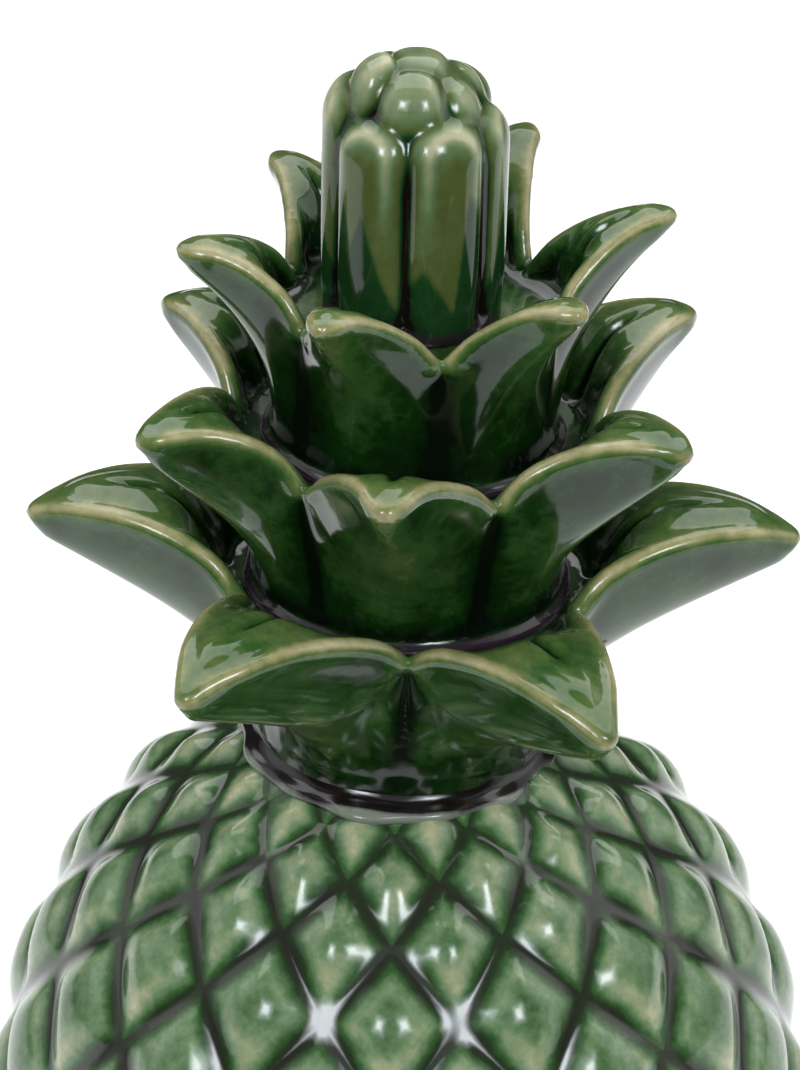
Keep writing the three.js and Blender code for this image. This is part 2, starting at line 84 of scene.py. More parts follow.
# Tiers from below. Rib and rim are drawn by (outward, upward) pulls at their two ends. The last
# four rows are how far single leaves sink, slump, sway and stretch, from the leaf at the tier's
# turn on towards the right.
TIERS = [
    {
        "name": "lower",
        "turn": -30,
        "inset": 0,
        "flare": 8.1,
        "reach": 38,
        "valley_rise": 32,
        "tip_rise": 9,
        "keel_pulls": ((0.2, 14.7), (25.5, 14.5)),
        "rim_pulls": ((7, 12), (16, -10)),
        "taper": (1.3, 0.7),
        "wall": 5,
        "bulge": 3,
        "tip_half": 3.6,
        "lip": 2.3,
        "dish": 4.6,
        "dome": 2.2,
        "sinks": (5, 9, 1, 0, 0, 1),
        "slumps": (5, 6, 0, 0, 0, 0),
        "sways": (-4.5, -1, 0, 0, 0, 0),
        "stretches": (0, 0, 1.5, 0, 0, -0.5),
    },
    {
        "name": "middle",
        "turn": -5,
        "inset": 7.4,
        "flare": 5.8,
        "reach": 22.6,
        "valley_rise": 33.5,
        "tip_rise": 11.5,
        "keel_pulls": ((0, 16), (13.5, 15)),
        "rim_pulls": ((6.5, 11), (9, -4.5)),
        "taper": (1.1, 0.9),
        "wall": 4.6,
        "bulge": 2.6,
        "tip_half": 4.6,
        "lip": 2.1,
        "dish": 4.4,
        "dome": 1.2,
        "sinks": (1, 2, 0, 0, 2, 3),
        "slumps": (5, 0, 0, 0, 0, 0),
        "sways": (-0.8, 5, 2, 5, 5, 5),
        "stretches": (0, 0, 3.5, 0, -1, 1),
    },
    {
        "name": "upper",
        "turn": -22,
        "inset": 8.8,
        "flare": 0.4,
        "reach": 19,
        "valley_rise": 28.5,
        "tip_rise": 15,
        "keel_pulls": ((-0.6, 16), (11.5, 11)),
        "rim_pulls": ((5.8, 10), (9, -1)),
        "taper": (1, 0.95),
        "wall": 4.4,
        "bulge": 2.2,
        "tip_half": 3.8,
        "lip": 1.9,
        "dish": 4.2,
        "dome": 1.0,
        "sinks": (2, 0, -1.5, -3, 3, 3.8),
        "slumps": (3, 3.5, 0, 0, 0, 0),
        "sways": (-2, 0, 0, -3.5, 0, 0),
        "stretches": (0, 0, 2, 1.5, 1, 0),
    },
]

# Bud
BUD_SHIFT = -1.6
BUD_LEAN = -1.0
BUD_CORE_RADIUS = 8.8
BUD_TURN = -6
LOBES_ROUND = 6
LOBE_REACH = 17.8
LOBE_RISE = 47.5
LOBE_HALF_WIDTH = 7.5
LOBE_ROUNDING = 7.5
LOBE_TRIMS = (-4, -3.2, -4, 0, 0, 0.5)
KNOB_RING_RADIUS = 8.8
KNOB_RISE = 49.5
KNOB_TRIMS = (1.5, -0.5, 0, 0, 1, 3.5)
KNOB_HALF_WIDTHS = (6.7, 5.4, 5.4, 5.4, 5.4, 5.4)
KNOB_HALF_DEPTH = 5.2
KNOB_HALF_HEIGHT = 10.5
KNOB_SLOPE = 0.45
CREST_RISE = 53
CREST_RADIUS = 7.5
CREST_HALF_HEIGHT = 9
BUD_FOOT_RADIUS = 15.6
BUD_FOOT_BEAD = 1.9
BUD_DOME = [
    (0, -1),
    (14, -1),
    (12.8, 26),
    (12.6, 38),
    (12, 43.4),
    (10, 47.4),
    (6.4, 50.2),
    (0, 51.6),
]

# Runs of glaze on the lobes, as (lobe, place across it, height of the peak, slopes to both sides)
GLAZE_RUNS = (
    (0, 0.4, 26, 3.2, 3.0),
    (0, -4.6, 31, 5.0, 5.0),
    (1, 3.4, 31, 9.0, 2.0),
    (1, -5.4, 16, 2.0, 1.6),
    (2, -2.5, 34, 6.0, 4.0),
    (2, 3.0, 22, 4.0, 3.0),
    (3, 0.0, 26, 3.0, 4.0),
    (4, -1.0, 24, 3.0, 3.0),
    (5, 1.0, 30, 4.0, 3.0),
    (5, -4.0, 20, 3.0, 3.0),
)

# Pooled glaze at the seam, as (outward, up) from the seam's circle
SEAM_PROFILE = [
    (-1.5, -3.4),
    (-1.3, 2.8),
    (-0.3, 2.7),
    (0.2, 1.5),
    (0.9, 0.6),
    (1.9, 0.0),
    (2.6, -0.4),
    (3.2, -0.8),
    (3.6, -1.4),
    (3.5, -2.6),
    (2.0, -3.8),
]

# Fused clay: grain in mm, and rounds of smoothing and of filling hollows
VOXEL = 0.5
CROWN_SETTLING = (7, 14)
BUD_SETTLING = (6, 13)

# Sizes in mm of the hollows that gather glaze, and how much each gathers
HOLLOW_SCALES = (0.9, 2.2, 5.5)
HOLLOW_WEIGHTS = (0.45, 0.36, 0.26)

# Pattern scales per metre
BROAD_MOTTLE = 90
FINE_MOTTLE = 420
GRAIN = 160
WAVES = 45


def smooth_step(value, start, end):
    share = np.clip((value - start) / (end - start), 0, 1)
    return share * share * (3 - 2 * share)


def mix(start, end, share):
    return start + (end - start) * share


def front_angle(azimuth):
    """Azimuth 0 is the front and grows towards the right, seen from above."""
    return math.radians(azimuth - 90)


def mesh_object(name, points, faces):
    """A mesh object from points in millimetres and index lists."""
    mesh = bpy.data.meshes.new(name)
    scaled = np.asarray(points, float) * METRES
    mesh.from_pydata(scaled.tolist(), [], [list(map(int, face)) for face in faces])
    mesh.update()
    piece = bpy.data.objects.new(name, mesh)
    bpy.context.scene.collection.objects.link(piece)
    return piece


def shade_smooth(piece):
    piece.data.polygons.foreach_set("use_smooth", [True] * len(piece.data.polygons))
    piece.data.update()


def coordinates(mesh):
    """Vertex places of a mesh in millimetres."""
    flat = np.empty(len(mesh.vertices) * 3)
    mesh.vertices.foreach_get("co", flat)
    return flat.reshape(-1, 3) / METRES


def set_coordinates(mesh, points):
    mesh.vertices.foreach_set("co", (points * METRES).ravel())
    mesh.update()


def store(mesh, name, values):
    layer = mesh.attributes.new(name, "FLOAT", "POINT")
    layer.data.foreach_set("value", np.asarray(values, np.float32))


def grid_faces(rows, columns, start=0, flip=False):
    """Quads over a grid of points kept row by row."""
    row, column = np.meshgrid(np.arange(rows - 1), np.arange(columns - 1), indexing="ij")
    corner = (start + row * columns + column).ravel()
    quads = np.stack([corner, corner + 1, corner + columns + 1, corner + columns], 1)
    return quads[:, ::-1] if flip else quads


# Surface helpers for the fused pieces

class Surface:
    """Neighbour sums over the edges of a mesh, for smoothing and for measuring how it curves."""

    def __init__(self, mesh):
        edges = np.empty(len(mesh.edges) * 2, np.int64)
        mesh.edges.foreach_get("vertices", edges)
        self.first, self.second = edges.reshape(-1, 2).T
        self.count = len(mesh.vertices)
        ones = np.ones(len(self.first))
        self.degree = self.gather(ones, ones)

    def gather(self, to_first, to_second):
        return np.bincount(self.first, to_first, self.count) + np.bincount(
            self.second, to_second, self.count
        )

    def average(self, values):
        if values.ndim == 1:
            return self.gather(values[self.second], values[self.first]) / self.degree
        return np.stack([self.average(column) for column in values.T], 1)

    def smoothed(self, values, rounds, strength=0.5):
        for _ in range(rounds):
            values = values + strength * (self.average(values) - values)
        return values


def vertex_normals(mesh):
    flat = np.empty(len(mesh.vertices) * 3)
    mesh.vertices.foreach_get("normal", flat)
    return flat.reshape(-1, 3)


def fuse(name, parts):
    """Join closed clay parts into one skin, as luting and glaze do."""
    builder = bmesh.new()
    for part in parts:
        builder.from_mesh(part.data)
        bpy.data.objects.remove(part)
    mesh = bpy.data.meshes.new(name)
    builder.to_mesh(mesh)
    builder.free()
    piece = bpy.data.objects.new(name, mesh)
    bpy.context.scene.collection.objects.link(piece)
    remesh = piece.modifiers.new("fuse", "REMESH")
    remesh.mode = "VOXEL"
    remesh.voxel_size = VOXEL * METRES
    graph = bpy.context.evaluated_depsgraph_get()
    fused = bpy.data.meshes.new_from_object(piece.evaluated_get(graph))
    piece.modifiers.clear()
    piece.data = fused
    bpy.data.meshes.remove(mesh)
    return piece


def settle(piece, rounds, fill_rounds):
    """Take the voxel steps off, then let glaze fill the hollows."""
    mesh = piece.data
    surface = Surface(mesh)
    points = surface.smoothed(coordinates(mesh), rounds)
    set_coordinates(mesh, points)
    for _ in range(fill_rounds):
        normals = vertex_normals(mesh)
        move = surface.average(points) - points
        rise = np.clip(np.einsum("ij,ij->i", move, normals), 0, None)
        points = points + 0.9 * rise[:, None] * normals
        set_coordinates(mesh, points)
    return surface


def curvature_marks(piece, surface):
    """How far a vertex lies below its smoothed surroundings, in mm, for each scale of hollow."""
    mesh = piece.data
    points = coordinates(mesh)
    normals = vertex_normals(mesh)
    marks = []
    smooth = points
    done = 0
    for scale in HOLLOW_SCALES:
        rounds = max(1, round(2 * (scale / VOXEL) ** 2))
        smooth = surface.smoothed(smooth, rounds - done)
        done = rounds
        marks.append(np.einsum("ij,ij->i", smooth - points, normals))
    return marks


# Fruit body

SEAM_ANGLE = math.asin(SEAM_RADIUS / BODY_RADIUS)
FOOT_ANGLE = math.pi - math.asin(FOOT_RADIUS / BODY_RADIUS)
BODY_HALF_HEIGHT = SEAM_HEIGHT / (math.cos(SEAM_ANGLE) - math.cos(FOOT_ANGLE))
BODY_CENTRE = -BODY_HALF_HEIGHT * math.cos(FOOT_ANGLE)

ROW_STEP = DIAMOND_SLENDERNESS * math.pi / DIAMONDS_ROUND
FIRST_ROW_ANGLE = SEAM_ANGLE + math.radians(FIRST_ROW_DROP)


def arc_table():
    """Angles down the ovoid and the arc length over radius travelled to each."""
    angles = np.linspace(math.radians(8), math.radians(172), 4000)
    arc = np.hypot(BODY_RADIUS * np.cos(angles), BODY_HALF_HEIGHT * np.sin(angles))
    rate = arc / (BODY_RADIUS * np.sin(angles))
    travelled = np.concatenate([[0], np.cumsum((rate[1:] + rate[:-1]) / 2 * np.diff(angles))])
    travelled -= np.interp(FIRST_ROW_ANGLE, angles, travelled)
    return angles, travelled


ARC_ANGLES, ARC_TRAVELLED = arc_table()


def lattice_place(points):
    """Lattice coordinates of points on the body: grooves run where either one is whole."""
    radius = np.hypot(points[:, 0], points[:, 1])
    angle = np.arctan2(radius / BODY_RADIUS, (points[:, 2] - BODY_CENTRE) / BODY_HALF_HEIGHT)
    down = np.interp(angle, ARC_ANGLES, ARC_TRAVELLED) / (2 * ROW_STEP)
    azimuth = np.arctan2(points[:, 1], points[:, 0]) - front_angle(LATTICE_TURN)
    round_it = azimuth * DIAMONDS_ROUND / (2 * math.pi)
    return round_it + down, round_it - down, angle


def groove_distance(share, angle):
    """Distance in mm from the nearest groove of one family."""
    spacing = 2 * math.pi / DIAMONDS_ROUND / math.hypot(1, 1 / DIAMOND_SLENDERNESS)
    return np.abs(share - np.round(share)) * spacing * BODY_RADIUS * np.sin(angle)


def pillow_profile(distance, spacing):
    """Height share from the hollow of the groove to the crown of the pillow."""
    edge = 1 - np.exp(-((distance / GROOVE_REACH) ** 2))
    reach = (np.hypot(2 * distance / spacing, GROOVE_ROUNDING) - GROOVE_ROUNDING) * DOME_GAIN
    dome = 1 - (1 - np.clip(reach, 0, 1)) ** 2
    return 0.66 * edge + 0.34 * dome


def body_relief(first, second, angle):
    spacing = 2 * math.pi / DIAMONDS_ROUND / math.hypot(1, 1 / DIAMOND_SLENDERNESS)
    spacing = spacing * BODY_RADIUS * np.sin(angle)
    height = pillow_profile(groove_distance(first, angle), spacing)
    height = height * pillow_profile(groove_distance(second, angle), spacing)
    amount = (GROOVE_DEPTH + PILLOW_HEIGHT * mix(0.35, 1, np.sin(angle))) * height - GROOVE_DEPTH
    fade = smooth_step(angle, SEAM_ANGLE, SEAM_ANGLE + math.radians(4))
    fade = fade * smooth_step(angle, FOOT_ANGLE, FOOT_ANGLE - math.radians(5))
    return amount * fade


def cell_share(steps):
    """Shares across a diamond, closer together near the grooves."""
    even = np.linspace(0, 1, steps + 1)
    return even - 0.75 * np.sin(2 * math.pi * even) / (2 * math.pi)


def body_mesh():
    """The lattice skin, its columns and rows running along the two families of grooves."""
    steps = CELL_STEPS
    shares = cell_share(steps)
    top = np.interp(SEAM_ANGLE, ARC_ANGLES, ARC_TRAVELLED) / (2 * ROW_STEP)
    bottom = np.interp(FOOT_ANGLE, ARC_ANGLES, ARC_TRAVELLED) / (2 * ROW_STEP)
    tallest = math.floor(2 * top) - 1
    deepest = math.ceil(2 * bottom) + 1
    tallest = max(tallest, math.ceil(2 * ARC_TRAVELLED[0] / (2 * ROW_STEP)) + 1)
    keys = []
    down_all = []
    round_all = []
    quads = []
    step_index = np.arange(steps + 1)
    across, along = np.meshgrid(step_index, step_index, indexing="ij")
    local = grid_faces(steps + 1, steps + 1)
    count = 0
    for offset in range(tallest, deepest + 1):
        for cell in range(DIAMONDS_ROUND):
            first = (cell + offset) * steps + across
            second = cell * steps + along
            round_key = (first + second) % (2 * DIAMONDS_ROUND * steps)
            keys.append(((first - second) * 10000 + round_key).ravel())
            first_share = (cell + offset) + shares[across]
            second_share = cell + shares[along]
            round_all.append(((first_share + second_share) / 2).ravel())
            down_all.append(((first_share - second_share) / 2).ravel())
            quads.append(local + count)
            count += (steps + 1) ** 2
    _, lead, merged = np.unique(np.concatenate(keys), return_index=True, return_inverse=True)
    down = np.concatenate(down_all)[lead]
    round_it = np.concatenate(round_all)[lead]
    angle = np.interp(down * 2 * ROW_STEP, ARC_TRAVELLED, ARC_ANGLES)
    azimuth = round_it * 2 * math.pi / DIAMONDS_ROUND + front_angle(LATTICE_TURN)
    lift = body_relief(round_it + down, round_it - down, angle)
    slope = np.hypot(BODY_HALF_HEIGHT * np.sin(angle), BODY_RADIUS * np.cos(angle))
    radius = BODY_RADIUS * np.sin(angle) + lift * BODY_HALF_HEIGHT * np.sin(angle) / slope
    height = BODY_CENTRE + BODY_HALF_HEIGHT * np.cos(angle) + lift * BODY_RADIUS * np.cos(angle) / slope
    points = np.stack([radius * np.cos(azimuth), radius * np.sin(azimuth), height], 1)
    return points, merged[np.concatenate(quads)]


def ring_of(builder, edges):
    """Grow a copy of a boundary loop and return the new edges and vertices."""
    grown = bmesh.ops.extrude_edge_only(builder, edges=edges)["geom"]
    new_edges = [item for item in grown if isinstance(item, bmesh.types.BMEdge)]
    new_vertices = [item for item in grown if isinstance(item, bmesh.types.BMVert)]
    return new_edges, new_vertices


def move_ring(vertices, radius, height):
    for vertex in vertices:
        reach = math.hypot(vertex.co.x, vertex.co.y)
        vertex.co.x *= radius * METRES / reach
        vertex.co.y *= radius * METRES / reach
        vertex.co.z = height * METRES


def build_body():
    """The lattice skin cut at the seam and the foot, and closed over the hollow inside."""
    points, quads = body_mesh()
    piece = mesh_object("body", points, quads)
    builder = bmesh.new()
    builder.from_mesh(piece.data)
    lean = Matrix.Rotation(math.radians(CROWN_LEAN), 3, "Y")
    everything = builder.verts[:] + builder.edges[:] + builder.faces[:]
    bmesh.ops.bisect_plane(
        builder,
        geom=everything,
        plane_co=(0, 0, (SEAM_HEIGHT - 0.6) * METRES),
        plane_no=lean @ Vector((0, 0, 1)),
        clear_outer=True,
    )
    everything = builder.verts[:] + builder.edges[:] + builder.faces[:]
    bmesh.ops.bisect_plane(
        builder, geom=everything, plane_co=(0, 0, 0), plane_no=(0, 0, 1), clear_inner=True
    )
    rims = [edge for edge in builder.edges if edge.is_boundary]
    top_rim = [edge for edge in rims if edge.verts[0].co.z > BODY_CENTRE * METRES]
    foot_rim = [edge for edge in rims if edge.verts[0].co.z < BODY_CENTRE * METRES]
    for share in (0.8, 0.4):
        top_rim, vertices = ring_of(builder, top_rim)
        for vertex in vertices:
            vertex.co.x *= share
            vertex.co.y *= share
    bmesh.ops.edgeloop_fill(builder, edges=top_rim)
    path = [(FOOT_RADIUS - 3, 0), (FOOT_HOLE_RADIUS + 2, 0), (FOOT_HOLE_RADIUS, 2)]
    path += [(FOOT_HOLE_RADIUS, FOOT_THICKNESS)]
    for share in np.linspace(0.06, 0.98, 14):
        angle = math.pi * (1 - share)
        height = BODY_CENTRE + (BODY_HALF_HEIGHT - BODY_WALL) * math.cos(angle)
        if height > FOOT_THICKNESS + 1:
            path.append(((BODY_RADIUS - BODY_WALL) * math.sin(angle), height))
    for radius, height in path:
        foot_rim, vertices = ring_of(builder, foot_rim)
        move_ring(vertices, radius, height)
    bmesh.ops.edgeloop_fill(builder, edges=foot_rim)
    bmesh.ops.recalc_face_normals(builder, faces=builder.faces[:])
    builder.to_mesh(piece.data)
    builder.free()
    shade_smooth(piece)
    paint_body(piece)
    return piece


def paint_body(piece):
    """Thickness of the glaze: thin on the shoulders and lower corners, thick in the grooves."""
    points = coordinates(piece.data)
    first, second, angle = lattice_place(points)
    near = np.minimum(groove_distance(first, angle), groove_distance(second, angle))
    groove = np.exp(-((near / 2.2) ** 2))
    shoulder = np.exp(-(((near - 5.0) / 1.8) ** 2))
    across = first - np.floor(first) + second - np.floor(second) - 1
    downward = (first - np.floor(first)) - (second - np.floor(second))
    lower_corner = smooth_step(downward, 0.1, 0.75) * (1 - smooth_step(np.abs(across), 0.1, 0.7))
    seam = 1 - smooth_step(angle, SEAM_ANGLE + math.radians(2), SEAM_ANGLE + math.radians(16))
    thick = 0.48 + 0.43 * groove - 0.12 * shoulder - 0.2 * lower_corner - 0.13 * seam
    store(piece.data, "glaze", thick)


# Crown

def set_tier_sizes():
    """Stack the tiers, and return the height of the floor that the bud stands on."""
    standing = FOOT_BAND_HEIGHT
    mouth = SEAM_RADIUS
    for tier in TIERS:
        tier["foot_radius"] = mouth - tier["inset"]
        tier["valley_radius"] = tier["foot_radius"] + tier["flare"]
        tier["tip_radius"] = tier["valley_radius"] + tier["reach"]
        tier["foot_height"] = standing
        tier["valley_height"] = standing + tier["valley_rise"]
        tier["floor_height"] = tier["valley_height"] - FLOOR_DROP
        standing = tier["floor_height"]
        mouth = tier["valley_radius"]
    return standing


BUD_FLOOR = set_tier_sizes()


def crease_radius(tier, share):
    """Radius of a tier's wall between two leaves, 0 at the foot and 1 at the valley."""
    return mix(tier["foot_radius"], tier["valley_radius"], share**1.6)


def bezier(start, pulls, end, sink, slump, share):
    first = (start[0] + pulls[0][0], start[1] + pulls[0][1] - 0.2 * sink - slump)
    second = (end[0] - pulls[1][0], end[1] - pulls[1][1] + 0.2 * sink)
    weights = ((1 - share) ** 3, 3 * (1 - share) ** 2 * share, 3 * (1 - share) * share**2, share**3)
    corners = (start, first, second, end)
    return tuple(sum(w * corner[axis] for w, corner in zip(weights, corners)) for axis in (0, 1))


def leaf_section(tier, index, along):
    """Rib, rim and half width across a leaf. Along is 0 at the foot, 1 at the valley, 2 at the tip."""
    sink = tier["sinks"][index]
    slump = tier["slumps"][index]
    tip_radius = tier["tip_radius"] + tier["stretches"][index]
    half_turn = math.pi / LEAVES_PER_TIER
    tip_height = tier["valley_height"] + tier["tip_rise"] - sink
    keel_foot = (tier["foot_radius"] + 0.25 * tier["bulge"], tier["foot_height"])
    valley = (tier["valley_radius"] * math.cos(half_turn), tier["valley_height"])
    keel_tip = (tip_radius - TIP_SETBACK, tip_height - TIP_DEPTH)
    rib = bezier(keel_foot, tier["keel_pulls"], keel_tip, sink, 0, along / 2)
    share = np.clip(along - 1, 0, 1)
    rim_tip = (tip_radius, tip_height)
    blade_rim = bezier(valley, tier["rim_pulls"], rim_tip, sink, slump, share)
    crease = crease_radius(tier, np.clip(along, 0, 1))
    is_wall = along <= 1
    wall_z = mix(tier["foot_height"], tier["valley_height"], along)
    rim = (
        np.where(is_wall, crease * math.cos(half_turn), blade_rim[0]),
        np.where(is_wall, wall_z, blade_rim[1]),
    )
    power, roundness = tier["taper"]
    valley_half = tier["valley_radius"] * math.sin(half_turn)
    tapered = valley_half * (1 - share**power) ** roundness
    cap_share = tier["tip_half"] / (tip_radius - valley[0])
    into_cap = np.clip((share - 1) / cap_share + 1, 0, 1)
    cap = tier["tip_half"] * np.sqrt(1 - 0.95 * into_cap**2)
    blade_half = (tapered**4 + cap**4) ** 0.25
    half_width = np.where(is_wall, crease * math.sin(half_turn), np.minimum(blade_half, valley_half))
    return rib, rim, half_width


def leaf_outside(tier, index, along, across):
    """Outer face of a leaf, in its own radial plane."""
    rib, rim, half_width = leaf_section(tier, index, along)
    sway = tier["sways"][index]
    bend = across * across
    return np.stack(
        [
            mix(rib[0], rim[0], bend),
            half_width * across + sway * smooth_step(along, 1, 2),
            mix(rib[1], rim[1], bend),
        ],
        -1,
    )


def lip_place(tier, index, along, across, drop, inset=LIP_INSET):
    """A place beside the rim, set in from the edge and from the tip, and dropped below the rim."""
    rib, rim, half_width = leaf_section(tier, index, along)
    sway = tier["sways"][index]
    before = leaf_section(tier, index, along - 0.02)[1]
    fall = unit(np.stack([rib[0] - rim[0], rib[1] - rim[1]], -1))
    heading = unit(np.stack([rim[0] - before[0], rim[1] - before[1]], -1))
    lip = tier["lip"]
    back = 1.1 * inset * lip * smooth_step(along, 1.75, 2)
    half = np.maximum(half_width - inset * lip, 0.4 * half_width)
    return np.stack(
        [
            rim[0] + fall[..., 0] * drop - heading[..., 0] * back,
            half * across + sway * smooth_step(along, 1, 2),
            rim[1] + fall[..., 1] * drop - heading[..., 1] * back,
        ],
        -1,
    )


def leaf_top(tier, index, along, across):
    """Inner face of the wall, and the fleshy top of the blade with its midrib slit."""
    share = np.clip(along - 1, 0, 1)
    angle = across * math.pi / LEAVES_PER_TIER
    radius = crease_radius(tier, np.clip(along, 0, 1)) - tier["wall"]
    height = mix(tier["foot_height"], tier["floor_height"], np.clip(along, 0, 1))
    wall = np.stack([radius * np.cos(angle), radius * np.sin(angle), height], -1)
    half_width = leaf_section(tier, index, along)[2]
    dish = tier["dish"] * (1 - smooth_step(share, 0.12, 0.5))
    dome = tier["dome"] * smooth_step(share, 0.2, 0.55) * (1 - smooth_step(share, 0.78, 1))
    slit = np.exp(-((across * half_width / SLIT_WIDTH) ** 2)) * smooth_step(share, 0.03, 0.14)
    slit = SLIT_DEPTH * slit * (1 - smooth_step(share, 0.5, 0.78))
    drop = (dish - dome) * (1 - across**2) + slit - LIP_RISE * smooth_step(share, 0, 0.3)
    blade = lip_place(tier, index, np.maximum(along, 1.001), across, drop)
    return mix(wall, blade, smooth_step(share, 0, 0.1)[..., None])


def unit(vectors):
    return vectors / np.maximum(np.linalg.norm(vectors, axis=-1, keepdims=True), 1e-9)


def leaf_stations():
    wall = np.linspace(0, 1, 16)[:-1]
    return np.concatenate([wall, 1 + np.sin(np.linspace(0, 1, 56) * math.pi / 2)])


def leaf_parts(tier, index):
    """One leaf: a closed blade, and the rolled bead along its rim."""
    stations = leaf_stations()
    columns = np.linspace(-1, 1, 61)
    along, across = np.meshgrid(stations, columns, indexing="ij")
    outer = leaf_outside(tier, index, along, across)
    inner = leaf_top(tier, index, along, across)
    rows, count = along.shape
    faces = [grid_faces(rows, count), grid_faces(rows, count, rows * count, flip=True)]
    points = np.concatenate([outer.reshape(-1, 3), inner.reshape(-1, 3)])
    back = rows * count
    edge = []
    for row in range(rows - 1):
        low = row * count
        high = low + count
        edge.append([low, high, back + high, back + low])
        edge.append([low + count - 1, back + low + count - 1, back + high + count - 1, high + count - 1])
    for column in range(count - 1):
        last = (rows - 1) * count + column
        edge.append([column, back + column, back + column + 1, column + 1])
        edge.append([last, last + 1, back + last + 1, back + last])
    blade_piece = mesh_object("blade", points, list(np.concatenate(faces)) + edge)
    recalculate(blade_piece)
    return [blade_piece, tube(rim_line(tier, index, BEAD_RISE * tier["lip"]), tier["lip"])]


def rim_line(tier, index, rise, inset=LIP_INSET):
    """Line beside the rim, up one side of the blade, round the tip and down the other side."""
    stations = leaf_stations()
    stations = stations[stations > 0.96]
    ones = np.ones_like(stations)
    drop = -rise * mix(-0.2, 1, smooth_step(stations, 1, 1.25))
    left = lip_place(tier, index, stations, -ones, drop, inset)
    right = lip_place(tier, index, stations, ones, drop, inset)
    return np.concatenate([left, right[::-1]])


def tube(path, radius, sides=12):
    """A closed round tube along a path."""
    path = denser(path, 0.8)
    tangent = unit(np.gradient(path, axis=0))
    side = unit(np.cross(tangent, np.array([0.0, 0.0, 1.0])))
    up = np.cross(side, tangent)
    turn = np.linspace(0, 2 * math.pi, sides, endpoint=False)
    ring = np.cos(turn)[None, :, None] * side[:, None, :] + np.sin(turn)[None, :, None] * up[:, None, :]
    return closed_skin("bead", list(path[:, None, :] + radius * ring))


def recalculate(piece):
    builder = bmesh.new()
    builder.from_mesh(piece.data)
    bmesh.ops.recalc_face_normals(builder, faces=builder.faces[:])
    builder.to_mesh(piece.data)
    builder.free()


def lathe(profile, steps=96):
    """A closed solid of revolution whose profile starts and ends on the axis."""
    turn = np.linspace(0, 2 * math.pi, steps, endpoint=False)
    rings = [
        [(radius * math.cos(angle), radius * math.sin(angle), height) for angle in turn]
        for radius, height in profile
        if radius > 0
    ]
    return closed_skin("turned", rings)


def crown_matrix():
    lift = Matrix.Translation((0, 0, SEAM_HEIGHT * METRES))
    return lift @ Matrix.Rotation(math.radians(CROWN_LEAN), 4, "Y")


def foot_line(tier, rise, outward):
    """Line round the foot of a tier's wall."""
    across = np.linspace(-1, 1, 24, endpoint=False)
    lines = []
    for index in range(LEAVES_PER_TIER):
        line = leaf_outside(tier, index, np.full_like(across, 0.02), across)
        lines.append(turned(line, front_angle(tier["turn"] + index * 360 / LEAVES_PER_TIER)))
    line = np.concatenate(lines)
    reach = np.hypot(line[:, 0], line[:, 1])[:, None]
    line[:, :2] *= (reach + outward) / reach
    line[:, 2] = tier["foot_height"] + rise
    return np.concatenate([line, line[:2]])


def turned(points, angle):
    """Points turned about the upright axis."""
    cos, sin = math.cos(angle), math.sin(angle)
    x, y = points[:, 0], points[:, 1]
    return np.stack([cos * x - sin * y, sin * x + cos * y, points[:, 2]], 1)


def distance_to(points, lines):
    """Distance in mm from each point to the nearest of the points of some lines."""
    targets = np.concatenate(lines)
    tree = KDTree(len(targets))
    for number, target in enumerate(targets):
        tree.insert(target, number)
    tree.balance()
    return np.array([tree.find(point)[2] for point in points])


def denser(line, gap):
    """A line's points placed anew, evenly and about a gap apart."""
    spacing = np.linalg.norm(np.diff(line, axis=0), axis=1)
    reach = np.concatenate([[0], np.cumsum(spacing)])
    even = np.linspace(0, reach[-1], max(2, int(reach[-1] / gap)))
    return np.stack([np.interp(even, reach, line[:, axis]) for axis in range(3)], 1)


def build_whorl(tier, is_lowest):
    """The leaves and the core of one tier, fused and glazed."""
    parts = []
    rims = []
    creases = []
    for index in range(LEAVES_PER_TIER):
        turn = front_angle(tier["turn"] + index * 360 / LEAVES_PER_TIER)
        for part in leaf_parts(tier, index):
            part.data.transform(Matrix.Rotation(turn, 4, "Z"))
            parts.append(part)
        rim = rim_line(tier, index, 0.9 * tier["lip"], 0.1)
        rims.append(denser(turned(rim, turn), 0.5))
        crease = leaf_outside(tier, index, np.linspace(0.1, 0.97, 12), np.ones(12))
        creases.append(denser(turned(crease, turn), 0.5))
    bottom = tier["foot_height"] - 0.4
    core = [(0.0, bottom)]
    pools = []
    if is_lowest:
        core += [(SEAM_RADIUS, -2.0), (SEAM_RADIUS + 0.2, FOOT_BAND_HEIGHT)]
    else:
        pool = foot_line(tier, 0.5, 0.7)
        parts.append(tube(pool, FOOT_BEAD_RADIUS))
        pools.append(denser(foot_line(tier, 0.3, 1.4), 0.5))
    for share in np.linspace(0, 1, 10):
        height = mix(tier["foot_height"], tier["floor_height"], share)
        core.append((crease_radius(tier, share) - tier["wall"] + 1.2, height))
    core.append((0.0, tier["floor_height"]))
    parts.append(lathe(core))
    piece = fuse(f"{tier['name']}_whorl", parts)
    surface = settle(piece, *CROWN_SETTLING)
    shade_smooth(piece)
    paint_crown(piece, surface, rims, creases, pools)
    piece.data.transform(crown_matrix())
    return piece


def hollows(fine, middle, broad):
    """Glaze gathered in hollows of three sizes."""
    marks = (fine, middle, broad)
    return sum(weight * np.maximum(mark, 0) for weight, mark in zip(HOLLOW_WEIGHTS, marks))


